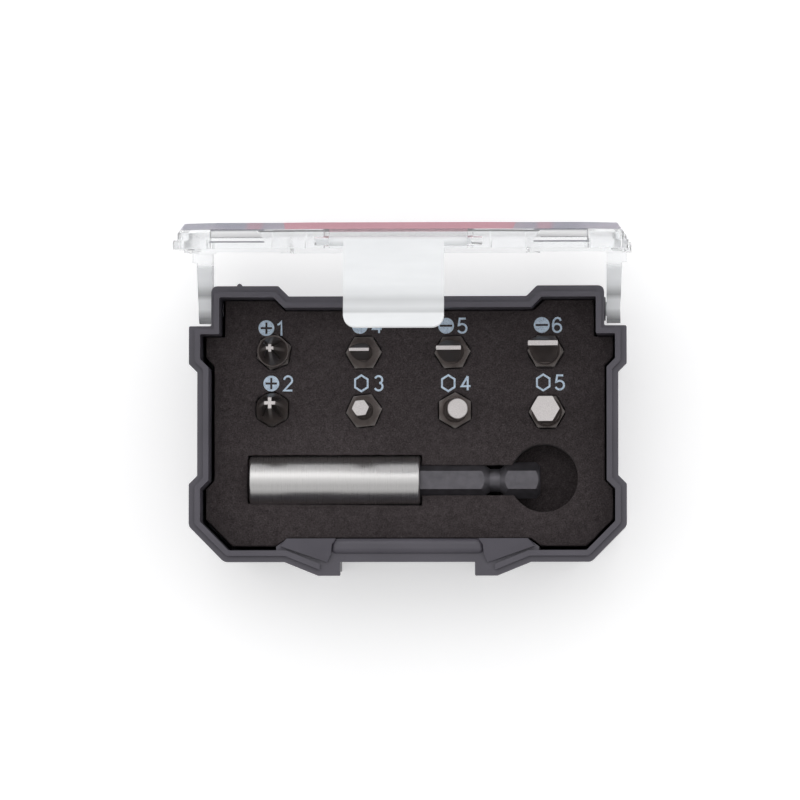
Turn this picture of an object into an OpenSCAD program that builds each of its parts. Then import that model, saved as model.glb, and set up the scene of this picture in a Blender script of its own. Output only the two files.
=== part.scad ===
// Pocket case of hex screwdriver bits with a magnetic bit holder, standing open.
// The origin is the centre of the case's underside, +X is right, +Y is towards the hinge, +Z is up.

/* [Case] */
// Width of the case over its side bumpers
body_w = 88; // [86:1:94]
// Depth of the case from its back edge to its front edge, without the latch shoulders
body_d = 55.5; // [55:0.5:60]
// Height of the base's rim above the underside
rim_z = 25; // [25:0.5:28]
// Width of the rim seen from above
rim_w = 2.3; // [2:0.1:2.5]
// Thickness of the base's floor
floor_t = 1.8; // [1.2:0.1:1.9]
// How far the latch shoulders stand out of the front edge
shoulder_d = 2.75; // [2.5:0.05:3]

/* [Lid] */
// Height of the lid above the rim
lid_h = 5.2; // [5:0.1:7]
// Thickness of the lid's side walls
lid_wall = 1; // [0.9:0.1:1.1]
// Thickness of the lid's top
lid_top = 1.5; // [1.2:0.1:1.6]
// Angle that the lid stands open, in degrees
lid_open = 87; // [0:1:120]

/* [Hinge] */
// Radius of the studs on the lid's arms
pin_r = 1.4; // [1.2:0.1:1.6]
// Depth of the hinge axis below the rim
pin_drop = 11.3; // [10:0.1:12]
// Distance of the hinge axis from the back edge
pin_back = 4.05; // [3.9:0.05:4.2]

/* [Latch] */
// Width of the latch's tab
latch_w = 19.7; // [16:0.1:22]
// Length of the latch from its pivot to its end
latch_len = 17.2; // [16:0.1:18]
// Angle that the latch stands off its closed place, in degrees
latch_open = 10; // [0:1:90]

/* [Foam] */
// Depth of the foam's top below the rim
foam_drop = 7; // [6.5:0.1:8]
// Thickness of the upper foam layer, which is the depth of the holder's pocket
pocket_d = 7; // [6.8:0.1:7.2]

/* [Bits] */
// Width across the flats of a bit's hexagon
bit_af = 6.35; // [6.2:0.01:6.4]
// Overall length of a bit
bit_len = 25; // [24:0.5:25]

/* [Holder] */
// Outside diameter of the holder's sleeve
sleeve_d = 10; // [9.8:0.1:10.4]
// Length of the sleeve
sleeve_len = 34.5; // [33:0.5:35]
// Length of the bare hexagonal shank
shank_len = 24.2; // [23:0.1:25]

/* [Hidden] */
$fn = 48;
eps = 0.01;

half_w = body_w / 2;
half_d = body_d / 2;

// The outline's features
recess_x = 23.9;                // half width of the shallow recess in the back edge
recess_d = 2.1;
neck_x = 39.5;                  // half width of the base between the lid's arms
notch_y = half_d - 8.05;        // front face of the notch that each arm hangs in
notch_thin = 0.65;              // how much thinner the rim is round the notches
bumper_y = 12.1;                // where the side bumpers end, before and behind the waist
bumper_d = 1.7;                 // how far the bumpers stand out of the waist
corner_x = 7.1;                 // front corner chamfer, along X and along Y
corner_y = 7.2;
shoulder_x = 24.8;              // where a latch shoulder leaves the front edge
shoulder_tip_x = 18;
bay_x = 13.55;                  // half width of the latch's bay

// The base
flange_t = 2.2;
overhang = 1;                   // how far the flange stands out of the tub
outer_draft = 0.5;              // how far the tub's walls lean in, over their height
inner_draft = 0.12;
lip_h = 0.8;                    // the inner lip that locates the lid
lip_gap = 0.2;
block_x = 26.4;                 // half width of the thick front wall behind the latch
block_y = -half_d + 4.65;       // its inner face
block_corner = [2.2, 1.6];
catch_pocket_x = 12;            // half width of the pocket that the latch's hook swings into
catch_pocket_y = -half_d + 2.4;
nib_x = -33.8;                  // moulding gate on the back edge
nib_r = 0.5;

// The hinge
pin_y = half_d - pin_back;
pin_z = rim_z - pin_drop;
running = 0.05;                 // radial clearance of a shaft in its hole
pin_end_x = 37.95;
boss_r = 2.4;
boss_x = 39.6;
arm_in_x = 39.85;
arm_out_x = [42.6, 43.1];       // at the hinge and at the lid
arm_r = 2.9;

// The lid
skirt_out = 0.9;                // how far the skirt stands out all round
skirt_h = 1.9;
lid_edge = [1.3, 1.9];          // bevel round the top, along X and along Y, which is also its height
rim_gap = 0.1;
window_x = [27, 36.9];          // the slot in the front wall beside each latch shoulder
window_h = 2.1;

// The latch
pivot_r = 0.95;
pivot_y = -half_d - 1.2;
pivot_z = rim_z + 1.5;
pivot_end_x = 15.2;
latch_play = -0.9;              // the latch sits to the left in its bay
latch_t = 1.4;
latch_in_y = -half_d - 0.75;    // inner face of the closed latch
catch_z = rim_z - 11.5;         // underside of the base's catch
catch_h = 1.6;
catch_y = -half_d + 0.65;
hook_z = catch_z - 0.25;
hook_h = 1;
hook_y = -half_d + 1.5;

// The foam
foam_top_z = rim_z - foam_drop;
pocket_z = foam_top_z - pocket_d;
foam_gap = 0.55;                // from the foam to the tub's walls, before it is pushed to the back right
foam_shift = [0.1, 0.45];
hole_gap = 0.15;                // from a bit to its hole

// The bits
shoulder_z = 16.6;              // top of a bit's hexagon
collar_z = 18.2;                // top of the small Phillips bit's round collar
// Each bit stands at [x, y], is turned about its axis and leans in the soft foam, by angles about X and Y.
// The order is that of the bit nodes.
BITS = [
    ["phillips", 1, [-26.6, 14.3], 19, [-2, -2.3]],
    ["slotted", 4, [-8.2, 14.5], 1, [-0.8, -3.4]],
    ["slotted", 5, [9.7, 14.1], 3, [-2.4, -3.2]],
    ["slotted", 6, [28.2, 12.8], -1, [-7.5, -2.2]],
    ["phillips", 2, [-27.6, 2], 29, [-4.9, 0]],
    ["hex", 3, [-8.5, 2.7], 6, [-0.9, -2]],
    ["hex", 4, [7.8, 3.2], 30, [0.7, 5.4]],
    ["hex", 5, [28.1, 2.2], 0, [-1.6, -0.9]]
];

// The holder lies along X with its socket at the left
holder_x = -32.2;
holder_y = -11.1;
holder_z = foam_top_z - 1.5;
sleeve_t = 0.8;
socket_d = 9.5;
socket_af = bit_af + 0.1;
magnet_r = 2.6;
magnet_t = 3;
ring_x = 4.2;                   // distance of the retaining ring from the mouth
ring_r = 0.4;
ring_mid_r = 3.42;
groove_r = 3.85;
shank_groove_x = 9.15;          // from the shank's end to the middle of its groove
shank_groove_r = 2.35;
shank_groove_w = 5.3;
finger_r = 6.85;
finger_x = 27.2;
finger_y = -10.7;

// Outlines are lists of [x, y, corner radius], clockwise, for the right side; both() adds the left side.
function both(p) = concat(p, [for (i = [len(p) - 1:-1:0]) [-p[i][0], p[i][1], p[i][2]]]);

function back_side() = [[recess_x, half_d - recess_d, 0.3], [recess_x + recess_d, half_d, 0.6]];

// Round the notches the outline may stand out by grow, which leaves a thinner rim there.
function neck_side(grow) = [
    [neck_x + grow, half_d, 1.2], [neck_x + grow, notch_y + grow, 0.3], [half_w, notch_y + grow, 0.3]
];

function waist_side() = [
    [half_w, bumper_y, 0.5], [half_w - bumper_d, bumper_y - bumper_d, 0.3],
    [half_w - bumper_d, bumper_d - bumper_y, 0.3], [half_w, -bumper_y, 0.5],
    [half_w, corner_y - half_d, 1.6], [half_w - corner_x, -half_d, 1.6]
];

function shoulder_side() = [
    [shoulder_x, -half_d, 0.4], [shoulder_tip_x, -half_d - shoulder_d, 0.8],
    [bay_x, -half_d - shoulder_d, 0.2], [bay_x, -half_d, 0.2]
];

function base_outline(grow = 0) =
    both(concat(back_side(), neck_side(grow), waist_side(), shoulder_side()));

function tray_outline() = both(concat(back_side(), neck_side(notch_thin), waist_side()));

function lid_outline() = both(concat(
    back_side(), [[half_w, half_d, 1.6]], waist_side(), shoulder_side()));

// The lid's top runs straight across between the shoulders, over the bay for the latch.
function plate_outline() = both(concat(
    back_side(), [[half_w, half_d, 1.6]], waist_side(), [shoulder_side()[0], shoulder_side()[1]]));

// The inner edge of the front block, from left to right, moved out by d.
function block_plan(d) = let (x = block_x + d, y = block_y + d) [
    [-x, y - block_corner[1]], [-x + block_corner[0], y], [x - block_corner[0], y], [x, y - block_corner[1]]
];

function flat(p) = [p[0], p[1]];

function unit(v) = v / norm(v);

function cross_z(a, b) = a[0] * b[1] - a[1] * b[0];

// The outline p moved inwards by d. Its corners keep their radii, but for outer corners that get tighter.
function inset(p, d) = [
    for (i = [0:len(p) - 1])
        let (
            n = len(p),
            b = flat(p[i]),
            u = unit(b - flat(p[(i + n - 1) % n])),
            v = unit(flat(p[(i + 1) % n]) - b),
            m = [u[1] + v[1], -u[0] - v[0]] / (1 + u * v),
            r = p[i][2] - (cross_z(u, v) < 0 ? d / 2 : 0)
        )
        [b[0] + d * m[0], b[1] + d * m[1], max(r, 0.2)]
];

// The points of outline p with every corner rounded to its radius by an arc.
function rounded(p, steps = 4) = [
    for (i = [0:len(p) - 1])
        let (
            n = len(p),
            b = flat(p[i]),
            u = unit(b - flat(p[(i + n - 1) % n])),
            v = unit(flat(p[(i + 1) % n]) - b),
            turn = atan2(cross_z(u, v), u * v),
            reach = p[i][2] * tan(abs(turn) / 2),
            side = turn < 0 ? -1 : 1,
            centre = b - u * reach + side * p[i][2] * [-u[1], u[0]]
        )
        for (k = [0:steps])
            let (a = turn * k / steps, w = -side * p[i][2] * [-u[1], u[0]])
            centre + [w[0] * cos(a) - w[1] * sin(a), w[0] * sin(a) + w[1] * cos(a)]
];

module slab(outline, z, h, steps = 4) {
    translate([0, 0, z]) linear_extrude(h) polygon(rounded(outline, steps));
}

// A block of outline p that narrows by d, along X and along Y, over the height h above its wide face.
module narrowing(p, d, h, steps = 2) {
    linear_extrude(h, scale = [1 - 2 * d[0] / body_w, 1 - 2 * d[1] / body_d], slices = 1)
        polygon(rounded(p, steps));
}

// Children drawn across X, from low to high.
module along_x(low, high) {
    translate([low, 0, 0]) rotate([90, 0, 90]) linear_extrude(high - low) children();
}

module rod_x(low, high, r, y, z) {
    translate([low, y, z]) rotate([0, 90, 0]) cylinder(h = high - low, r = r);
}

module hexagon(af) {
    circle(r = af / sqrt(3), $fn = 6);
}

// ---- The base ----

module front_block() {
    front = -half_d + overhang + 1;
    translate([0, 0, floor_t - eps]) linear_extrude(rim_z - floor_t + eps)
        polygon(concat([[-block_x, front]], block_plan(0), [[block_x, front]]));
}

// The guide behind one latch shoulder, whose top slopes down towards the front.
module guide(side) {
    drop = 1;
    back_rise = 1.7;
    front_rise = 0.5;
    ridge = [16.1, -half_d - 0.1];
    plan = [
        [block_x - 0.9, block_y - block_corner[1] + 0.1], [block_x - block_corner[0], block_y],
        [bay_x + 0.75, block_y], [bay_x + 1.6, block_y - 1.2], [bay_x + 1.8, block_y - 3.1], ridge
    ];
    slope = atan((back_rise - front_rise) / (block_y - ridge[1]));
    difference() {
        translate([0, 0, rim_z - drop])
            linear_extrude(drop + back_rise) polygon([for (p = plan) [side * p[0], p[1]]]);
        translate([0, ridge[1], rim_z + front_rise]) rotate([slope, 0, 0])
            translate([-half_w, -5, 0]) cube([body_w, 20, 5]);
    }
}

// The low bar with rounded edges along the front wall, between the guides.
module front_bar() {
    r = 1.1;
    end = bay_x + 0.7;
    depth = 3;
    rise = 0.9;
    for (y = [block_y - r, block_y - depth + r]) {
        rod_x(-end, end, r, y, rim_z + rise - r);
        for (side = [-1, 1]) translate([side * end, y, rim_z + rise - r]) sphere(r = r);
    }
    translate([-end, block_y - depth + r, rim_z - 1]) cube([2 * end, depth - 2 * r, 1 + rise]);
    for (side = [-1, 1])
        translate([side * end, block_y - r, rim_z + rise - r]) rotate([90, 0, 0]) cylinder(h = depth - 2 * r, r = r);
}

module inner_lip() {
    width = rim_w - lid_wall - lip_gap;
    outer = inset(base_outline(notch_thin), lid_wall + lip_gap);
    gap_x = shoulder_tip_x - 0.4;
    difference() {
        slab(outer, rim_z - eps, lip_h + eps);
        slab(inset(outer, width), rim_z - 1, lip_h + 2);
        translate([-gap_x, -half_d - shoulder_d, rim_z]) cube([2 * gap_x, shoulder_d + 3, 5]);
    }
}

module catch_bar() {
    length = latch_w - 3;
    back = catch_pocket_y + 0.5;
    along_x(-length / 2, length / 2) polygon([
        [catch_y, catch_z], [back, catch_z], [back, catch_z + catch_h + 1],
        [catch_pocket_y, catch_z + catch_h + 1], [catch_y, catch_z + catch_h - 0.6]
    ]);
}

module case_base() color("#4a4b50") {
    tub = inset(base_outline(notch_thin), overhang);
    cavity = inset(tray_outline(), rim_w);
    difference() {
        union() {
            translate([0, 0, rim_z - flange_t + eps]) mirror([0, 0, 1])
                narrowing(tub, [outer_draft, outer_draft], rim_z - flange_t + eps);
            slab(base_outline(), rim_z - flange_t, flange_t);
            for (side = [-1, 1]) {
                low = side > 0 ? neck_x - 2 : -boss_x;
                rod_x(low, low + boss_x - neck_x + 2, boss_r, pin_y, pin_z);
            }
            translate([nib_x, half_d, rim_z - flange_t]) cylinder(h = flange_t, r = nib_r);
        }
        difference() {
            translate([0, 0, rim_z + eps]) mirror([0, 0, 1])
                narrowing(cavity, [inner_draft, inner_draft], rim_z + eps - floor_t);
            front_block();
        }
        // The pocket in the front wall that the latch's hook swings into.
        translate([-catch_pocket_x, -half_d - 1, catch_z - 7])
            cube([2 * catch_pocket_x, catch_pocket_y + half_d + 1, 15]);
        for (side = [-1, 1]) {
            low = side > 0 ? pin_end_x - 1 : -boss_x - 1;
            rod_x(low, low + boss_x - pin_end_x + 2, pin_r + running, pin_y, pin_z);
        }
    }
    inner_lip();
    front_bar();
    catch_bar();
    for (side = [-1, 1]) guide(side);
}

// ---- The foam ----

module foam_plan() {
    difference() {
        translate(foam_shift) polygon(rounded(inset(tray_outline(), rim_w + foam_gap)));
        polygon(concat([[-block_x - 0.3, -half_d]], block_plan(0.3), [[block_x + 0.3, -half_d]]));
    }
}

// Children in a bit's own frame: its lower end at the origin and its axis along Z.
module at_bit(i) {
    b = BITS[i];
    seat = floor_t + 0.15 + bit_af / sqrt(3) * sin(norm(b[4]));
    translate([b[2][0], b[2][1], seat])
        rotate([b[4][0], b[4][1], 0]) rotate([0, 0, b[3]]) children();
}

module bit_holes() {
    for (i = [0:len(BITS) - 1]) at_bit(i)
        translate([0, 0, -2]) linear_extrude(bit_len) hexagon(bit_af + 2 * hole_gap);
}

module foam_lower() color("#2b2a2b") {
    difference() {
        translate([0, 0, floor_t]) linear_extrude(pocket_z - floor_t) foam_plan();
        bit_holes();
    }
}

module foam_upper() color("#2b2a2b") {
    slot_w = bit_af * 2 / sqrt(3) + 0.5;
    difference() {
        translate([0, 0, pocket_z]) linear_extrude(pocket_d) foam_plan();
        bit_holes();
        translate([0, 0, pocket_z - 1]) linear_extrude(pocket_d + 2) {
            translate([holder_x - 0.4, holder_y - sleeve_d / 2 - 0.25])
                square([sleeve_len + 0.8, sleeve_d + 0.5]);
            translate([holder_x + 1, holder_y - slot_w / 2])
                square([sleeve_len + shank_len - 0.6, slot_w]);
            translate([finger_x, finger_y]) circle(r = finger_r);
        }
    }
}

// ---- The lid ----

// Children of the closed lid, turned to where the lid stands.
module opened() {
    translate([0, pin_y, pin_z]) rotate([-lid_open, 0, 0]) translate([0, -pin_y, -pin_z]) children();
}

// One hinge arm, with the stud that turns in the base.
module lid_arm(side) {
    root = [arm_in_x, rim_z - 1.8];
    block = half_w - 0.1;
    translate([0, pin_y + arm_r, 0]) rotate([90, 0, 0]) linear_extrude(2 * arm_r)
        polygon([for (p = [
            [arm_in_x, pin_z], [arm_in_x, rim_z + 0.5], [arm_out_x[1], rim_z + 0.5], [arm_out_x[0], pin_z]
        ]) [side * p[0], p[1]]]);
    low = side > 0 ? arm_in_x : -arm_out_x[0];
    rod_x(low, low + arm_out_x[0] - arm_in_x, arm_r, pin_y, pin_z);
    stud = side > 0 ? pin_end_x : -arm_in_x - 0.5;
    rod_x(stud, stud + arm_in_x + 0.5 - pin_end_x, pin_r, pin_y, pin_z);
    corner = side > 0 ? root[0] : -block;
    translate([corner, pin_y - arm_r, root[1]]) cube([block - root[0], 2 * arm_r + 0.4, 2.3]);
}

// A long slot through the lid's front wall, beside each latch shoulder.
module front_window(side) {
    slant = 0.8;
    translate([0, -half_d + lid_wall + 0.5, rim_z + skirt_h - 0.35]) rotate([90, 0, 0])
        linear_extrude(3) polygon([for (p = [
            [window_x[0] - slant, 0], [window_x[1], 0], [window_x[1], window_h], [window_x[0] + slant, window_h]
        ]) [side * p[0], p[1]]]);
}

module lid() color("#dfe6ea", 0.4) opened() {
    skirt = inset(lid_outline(), -skirt_out);
    cavity = inset(lid_outline(), lid_wall);
    difference() {
        union() {
            slab(skirt, rim_z + rim_gap, skirt_h - rim_gap, 2);
            slab(lid_outline(), rim_z + rim_gap, lid_h - lid_edge[1] - rim_gap + eps, 2);
            translate([0, 0, rim_z + lid_h - lid_edge[1]]) narrowing(plate_outline(), lid_edge, lid_edge[1]);
            for (side = [-1, 1]) lid_arm(side);
        }
        slab(cavity, rim_z - eps, lid_h - lid_top + eps, 2);
        // The bay for the latch has no skirt.
        translate([-bay_x, -half_d - 10, rim_z - eps]) cube([2 * bay_x, 10, skirt_h + 0.5]);
        // The back wall stops short of the rim, so that it swings clear of it.
        translate([-neck_x, pin_y + arm_r + 0.1, rim_z - eps]) cube([2 * neck_x, 10, 0.4 + eps]);
        for (side = [-1, 1]) {
            front_window(side);
            // Fine grooves that frame the middle panel of the lid's top.
            translate([side * 22.2 - 0.3, -half_d + 4, rim_z + lid_h - 0.25]) cube([0.6, body_d - 9, 1]);
        }
        rod_x(-pivot_end_x - 1.2, pivot_end_x + 1.2, pivot_r + running, pivot_y, pivot_z);
    }
}

module label_card() color("#b8434e") opened() {
    card_t = 0.3;
    slab(inset(lid_outline(), lid_wall + 0.25), rim_z + lid_h - lid_top - card_t, card_t, 2);
}

module latch_tab() {
    corner = 2.4;
    low = pivot_z - latch_len;
    translate([0, latch_in_y, 0]) rotate([90, 0, 0]) linear_extrude(latch_t) {
        translate([-latch_w / 2, low + corner]) square([latch_w, latch_len - corner]);
        translate([-latch_w / 2 + corner, low]) square([latch_w - 2 * corner, latch_len]);
        for (side = [-1, 1]) translate([side * (latch_w / 2 - corner), low + corner]) circle(r = corner);
    }
}

module latch_hook() {
    along_x(-latch_w / 2 + 1, latch_w / 2 - 1) polygon([
        [latch_in_y - eps, hook_z], [hook_y, hook_z], [hook_y, hook_z - 0.3],
        [latch_in_y + 0.5, hook_z - hook_h], [latch_in_y - eps, hook_z - hook_h]
    ]);
}

module latch() color("#e6ecef", 0.4) opened()
    translate([latch_play, pivot_y, pivot_z]) rotate([-latch_open, 0, 0])
        translate([0, -pivot_y, -pivot_z]) {
            latch_tab();
            latch_hook();
            rod_x(-pivot_end_x, pivot_end_x, pivot_r, pivot_y, pivot_z);
        }

// ---- The bits ----

// The hexagonal body of a bit, with the ring of notches across its corners.
// Its top slopes up from the hexagon to top_r, and ends in a round collar of that radius.
module bit_body(top_r, slope, collar = 0) {
    r = bit_af / sqrt(3);
    notch_z = 9.3;
    corner_z = shoulder_z - (r + 0.1 - top_r) * slope;
    difference() {
        intersection() {
            linear_extrude(shoulder_z + collar) hexagon(bit_af);
            rotate_extrude() polygon([
                [0, 0], [bit_af / 2 - 0.3, 0], [r + 0.1, 0.8], [r + 0.1, corner_z],
                [top_r, shoulder_z], [top_r, shoulder_z + collar], [0, shoulder_z + collar]
            ]);
        }
        translate([0, 0, notch_z]) rotate_extrude() translate([r + 0.75, 0]) circle(r = 1.15);
    }
}

// A cruciform tip: a cone with four flutes that deepen towards its flat end.
module phillips_tip(size) {
    base_z = size == 1 ? collar_z : shoulder_z;
    base_r = bit_af / 2 - (size == 1 ? 0.2 : 0.05);
    end_r = size == 1 ? 0.68 : 1.05;
    web = size == 1 ? 0.38 : 0.45;
    flute_lean = size == 1 ? 20 : 16.5;
    flute_len = bit_len - base_z - 1.2;
    difference() {
        rotate_extrude() polygon([
            [0, base_z - eps], [base_r, base_z - eps], [base_r, base_z],
            [end_r + 0.15, bit_len - 0.2], [end_r, bit_len], [0, bit_len]
        ]);
        for (a = [45:90:315])
            rotate([0, 0, a]) translate([web, 0, bit_len]) rotate([0, -flute_lean, 0])
                translate([0, 0, -flute_len]) rotate([0, 0, -45]) cube([6, 6, flute_len + 3]);
    }
}

function slot_neck(width) = min(width / 2 - 0.1, bit_af / 2 - 0.3);

// A flat blade: a round neck cut to a wedge that ends in the blade's thickness.
module slotted_tip(width) {
    tip_t = [0.6, 0.8, 1][width - 4];
    neck_r = slot_neck(width);
    blade_z = shoulder_z + 2.2;
    intersection() {
        rotate_extrude() polygon([
            [0, shoulder_z - eps], [neck_r - eps, shoulder_z - eps], [neck_r - eps, shoulder_z + 0.5],
            [width / 2, blade_z + 1.5], [width / 2, bit_len], [0, bit_len]
        ]);
        along_x(-bit_af, bit_af) polygon([
            [-bit_af, 0], [-bit_af, shoulder_z + 0.6], [-neck_r + 0.2, blade_z - 0.6],
            [-tip_t / 2 - 0.25, bit_len - 1.6], [-tip_t / 2, bit_len - 0.7], [-tip_t / 2, bit_len],
            [tip_t / 2, bit_len], [tip_t / 2, bit_len - 0.7], [tip_t / 2 + 0.25, bit_len - 1.6],
            [neck_r - 0.2, blade_z - 0.6], [bit_af, shoulder_z + 0.6], [bit_af, 0]
        ]);
    }
}

// A hexagon key tip on a short cone.
module hex_tip(af) {
    r = af / sqrt(3);
    chamfer = af == 4 ? 0.45 : 0.15;
    rotate_extrude() polygon([
        [0, shoulder_z - eps], [min(r + 0.2, bit_af / 2 - 0.12), shoulder_z - eps], [r * 0.94, shoulder_z + 1.4],
        [0, shoulder_z + 1.4]
    ]);
    intersection() {
        translate([0, 0, shoulder_z]) linear_extrude(bit_len - shoulder_z) hexagon(af);
        rotate_extrude() polygon([
            [0, shoulder_z], [r + 0.1, shoulder_z], [r + 0.1, bit_len - chamfer - 0.1],
            [r - chamfer, bit_len], [0, bit_len]
        ]);
    }
}

module bit(i) color("#38363a") at_bit(i) {
    kind = BITS[i][0];
    size = BITS[i][1];
    if (kind == "phillips" && size == 1) bit_body(bit_af / 2 - 0.02, 0.8, collar_z - shoulder_z);
    if (kind == "phillips" && size == 2) bit_body(bit_af / 2 - 0.05, 4);
    if (kind == "slotted") bit_body(slot_neck(size), 0.45);
    if (kind == "hex") bit_body(min(size / sqrt(3) + 0.25, bit_af / 2 - 0.1), 0.45);
    // The drive faces square to the case, whichever way the hexagon is turned.
    if (kind == "phillips") rotate([0, 0, -BITS[i][3]]) phillips_tip(size);
    if (kind == "slotted") rotate([0, 0, -BITS[i][3]]) slotted_tip(size);
    if (kind == "hex") hex_tip(size);
}

// ---- The holder ----

// Children in the holder's own frame: its axis along Z, with the socket's mouth at the origin.
module at_holder() {
    translate([holder_x, holder_y, holder_z]) rotate([0, 90, 0]) children();
}

module holder_sleeve() color("#c9c8c6") at_holder() {
    r = sleeve_d / 2;
    rotate_extrude($fn = 96) polygon([
        [r - sleeve_t, 0.3], [r - sleeve_t + 0.3, 0], [r - 0.5, 0], [r - 0.15, 0.15], [r, 0.5],
        [r, sleeve_len - 0.3], [r - 0.3, sleeve_len], [r - sleeve_t, sleeve_len]
    ]);
}

module holder_shank() color("#2f2f33") at_holder() {
    body_r = sleeve_d / 2 - sleeve_t;
    end = sleeve_len + shank_len;
    groove = end - shank_groove_x;
    seat = socket_d + magnet_t;
    r = bit_af / sqrt(3);
    difference() {
        rotate_extrude() polygon([
            [0, seat], [magnet_r, seat], [magnet_r, 0.4], [body_r, 0.4],
            [body_r, sleeve_len - 0.4], [0, sleeve_len - 0.4]
        ]);
        rotate([0, 0, 30]) translate([0, 0, -1]) linear_extrude(socket_d + 1) hexagon(socket_af);
        translate([0, 0, ring_x - 0.5]) cylinder(h = 1, r = groove_r);
    }
    intersection() {
        translate([0, 0, sleeve_len - 3]) rotate([0, 0, 30]) linear_extrude(shank_len + 3) hexagon(bit_af);
        rotate_extrude() polygon([
            [0, 1], [r + 0.1, 1], [r + 0.1, groove - shank_groove_w / 2 - 0.2],
            [shank_groove_r, groove - 1], [shank_groove_r, groove + 1],
            [r + 0.1, groove + shank_groove_w / 2 + 0.2], [r + 0.1, end - 1],
            [bit_af / 2 - 0.35, end], [0, end]
        ]);
    }
}

module holder_magnet() color("#b9bcc2") at_holder() {
    translate([0, 0, socket_d]) cylinder(h = magnet_t - 0.02, r = magnet_r - 0.01);
}

// An open spring ring in the socket's groove.
module holder_ring() color("#8d9096") at_holder() {
    translate([0, 0, ring_x]) rotate([0, 0, 110]) rotate_extrude(angle = 320)
        translate([ring_mid_r, 0]) circle(r = ring_r, $fn = 16);
}

case_base();
foam_lower();
foam_upper();
lid();
label_card();
latch();
bit(0);  // bit_phillips_1
bit(1);  // bit_slotted_4
bit(2);  // bit_slotted_5
bit(3);  // bit_slotted_6
bit(4);  // bit_phillips_2
bit(5);  // bit_hex_3
bit(6);  // bit_hex_4
bit(7);  // bit_hex_5
holder_sleeve();
holder_shank();
holder_magnet();
holder_ring();
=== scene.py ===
import math
from collections import namedtuple

import bmesh
import bpy
from mathutils import Matrix, Vector, noise


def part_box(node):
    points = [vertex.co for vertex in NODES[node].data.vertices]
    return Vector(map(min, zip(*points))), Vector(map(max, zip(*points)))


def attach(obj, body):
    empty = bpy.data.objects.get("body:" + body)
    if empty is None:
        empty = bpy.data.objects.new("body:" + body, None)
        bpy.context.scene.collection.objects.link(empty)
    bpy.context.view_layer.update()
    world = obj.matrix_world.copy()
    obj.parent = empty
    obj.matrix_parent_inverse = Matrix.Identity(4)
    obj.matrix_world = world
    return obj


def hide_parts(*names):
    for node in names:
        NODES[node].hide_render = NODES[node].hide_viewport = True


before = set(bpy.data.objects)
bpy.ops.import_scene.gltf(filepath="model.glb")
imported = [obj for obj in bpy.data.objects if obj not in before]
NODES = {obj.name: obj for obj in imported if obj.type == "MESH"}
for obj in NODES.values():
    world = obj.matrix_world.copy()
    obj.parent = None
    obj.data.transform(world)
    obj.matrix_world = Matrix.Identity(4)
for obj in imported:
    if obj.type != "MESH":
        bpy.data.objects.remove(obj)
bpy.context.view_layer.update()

MM = 0.001

# The camera looks down on the case, a little from the front and from the right (metres, degrees).
CAMERA_AIM = (-1.5 * MM, 4.75 * MM, 25 * MM)
CAMERA_DISTANCE = 1.6
CAMERA_FORWARD = 3.0        # from straight above towards the front
CAMERA_RIGHT = 2.45         # from straight above towards the right
VIEW_WIDTH = 0.16064        # width of the view at the rim
SENSOR_WIDTH = 36           # mm

# How bright the room is by the sine of the height, towards the front and towards the back
FRONT_LIGHT = ((0, 0.5), (0.34, 0.35), (0.56, 0.55), (0.73, 0.78), (0.94, 0.6), (1, 0.85))
BACK_LIGHT = ((0, 0.85), (0.33, 1.1), (0.7, 1.25), (0.91, 1.4), (1, 0.98))
ROOM_TURN = (-0.35, 0.25)   # the room changes from front to back between these cosines with +Y
KEY_PLACE = (-0.05, 0.5, 1.2)
KEY_SIZE = 0.5
KEY_POWER = 0.25

FLOOR_SIZE = 3              # metres to each side
FLOOR_GLOW = 0.37           # the pale floor and the card's paper shine a little of their own
PAPER_GLOW = 0.24
FLOOR_GAP = 0.02 * MM       # keeps the floor's face and the case's underside apart

# The eight bits as they stand in the foam, in mm and degrees. lean is about X and about Y.
BIT_AF = 6.35               # across the flats
BIT_LEN = 25
Bit = namedtuple("Bit", "kind size foot turn lean")
BITS = [
    Bit("phillips", 1, (-26.6, 14.3), 19, (-2, -2.3)),
    Bit("slotted", 4, (-8.2, 14.5), 1, (-0.8, -3.4)),
    Bit("slotted", 5, (9.7, 14.1), 3, (-2.4, -3.2)),
    Bit("slotted", 6, (28.2, 12.8), -1, (-7.5, -2.2)),
    Bit("phillips", 2, (-27.6, 2), 29, (-4.9, 0)),
    Bit("hex", 3, (-8.5, 2.7), 6, (-0.9, -2)),
    Bit("hex", 4, (7.8, 3.2), 30, (0.7, 5.4)),
    Bit("hex", 5, (28.1, 2.2), 0, (-1.6, -0.9)),
]
FOOT_Z = 1.95               # a bit's foot stands a little above the case's floor

# Where a bit's tones, its wear and its painted shade and highlights change, in mm off its axis
CORNER_R = (2.85, 3.6)      # its hexagon's corners get lighter, from wear and a painted highlight
NECK_R = (1.9, 2.9)         # its neck's darker painted shade ends
FLUTE_R = (1.5, 2.7)        # a Phillips tip's painted flute shade and wing highlight end
FLUTE_OFF = (0.3, 0.5)      # from the middle of a wing to the painted shade of the flute beside it
WING_OFF = (0.2, 0.4)       # from the middle of a wing to the edges of its painted highlight

# The print on the foam, in mm: kind of icon, digit, middle of the icon, middle of the digit
MARKS = [
    ("phillips", "1", (-28.8, 19.7), (-25.9, 19.6)),
    ("slotted", "4", (-9.9, 20.1), (-6.4, 20.1)),
    ("slotted", "5", (7.5, 20.1), (10.75, 20.1)),
    ("slotted", "6", (26.8, 20.2), (29.9, 20.2)),
    ("phillips", "2", (-27.8, 8.5), (-24.4, 8.5)),
    ("hex", "3", (-9.6, 8.5), (-6.1, 8.5)),
    ("hex", "4", (7.95, 8.5), (11.5, 8.5)),
    ("hex", "5", (27.1, 8.6), (30.4, 8.6)),
]

# The holder and its pocket, in mm
HOLDER_X = -32.2            # the sleeve's left end
HOLDER_Y = -11.1
SLEEVE_LEN = 34.5
POCKET_SPARE = (0.35, 0.3)  # room at the sleeve's left and right ends
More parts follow.
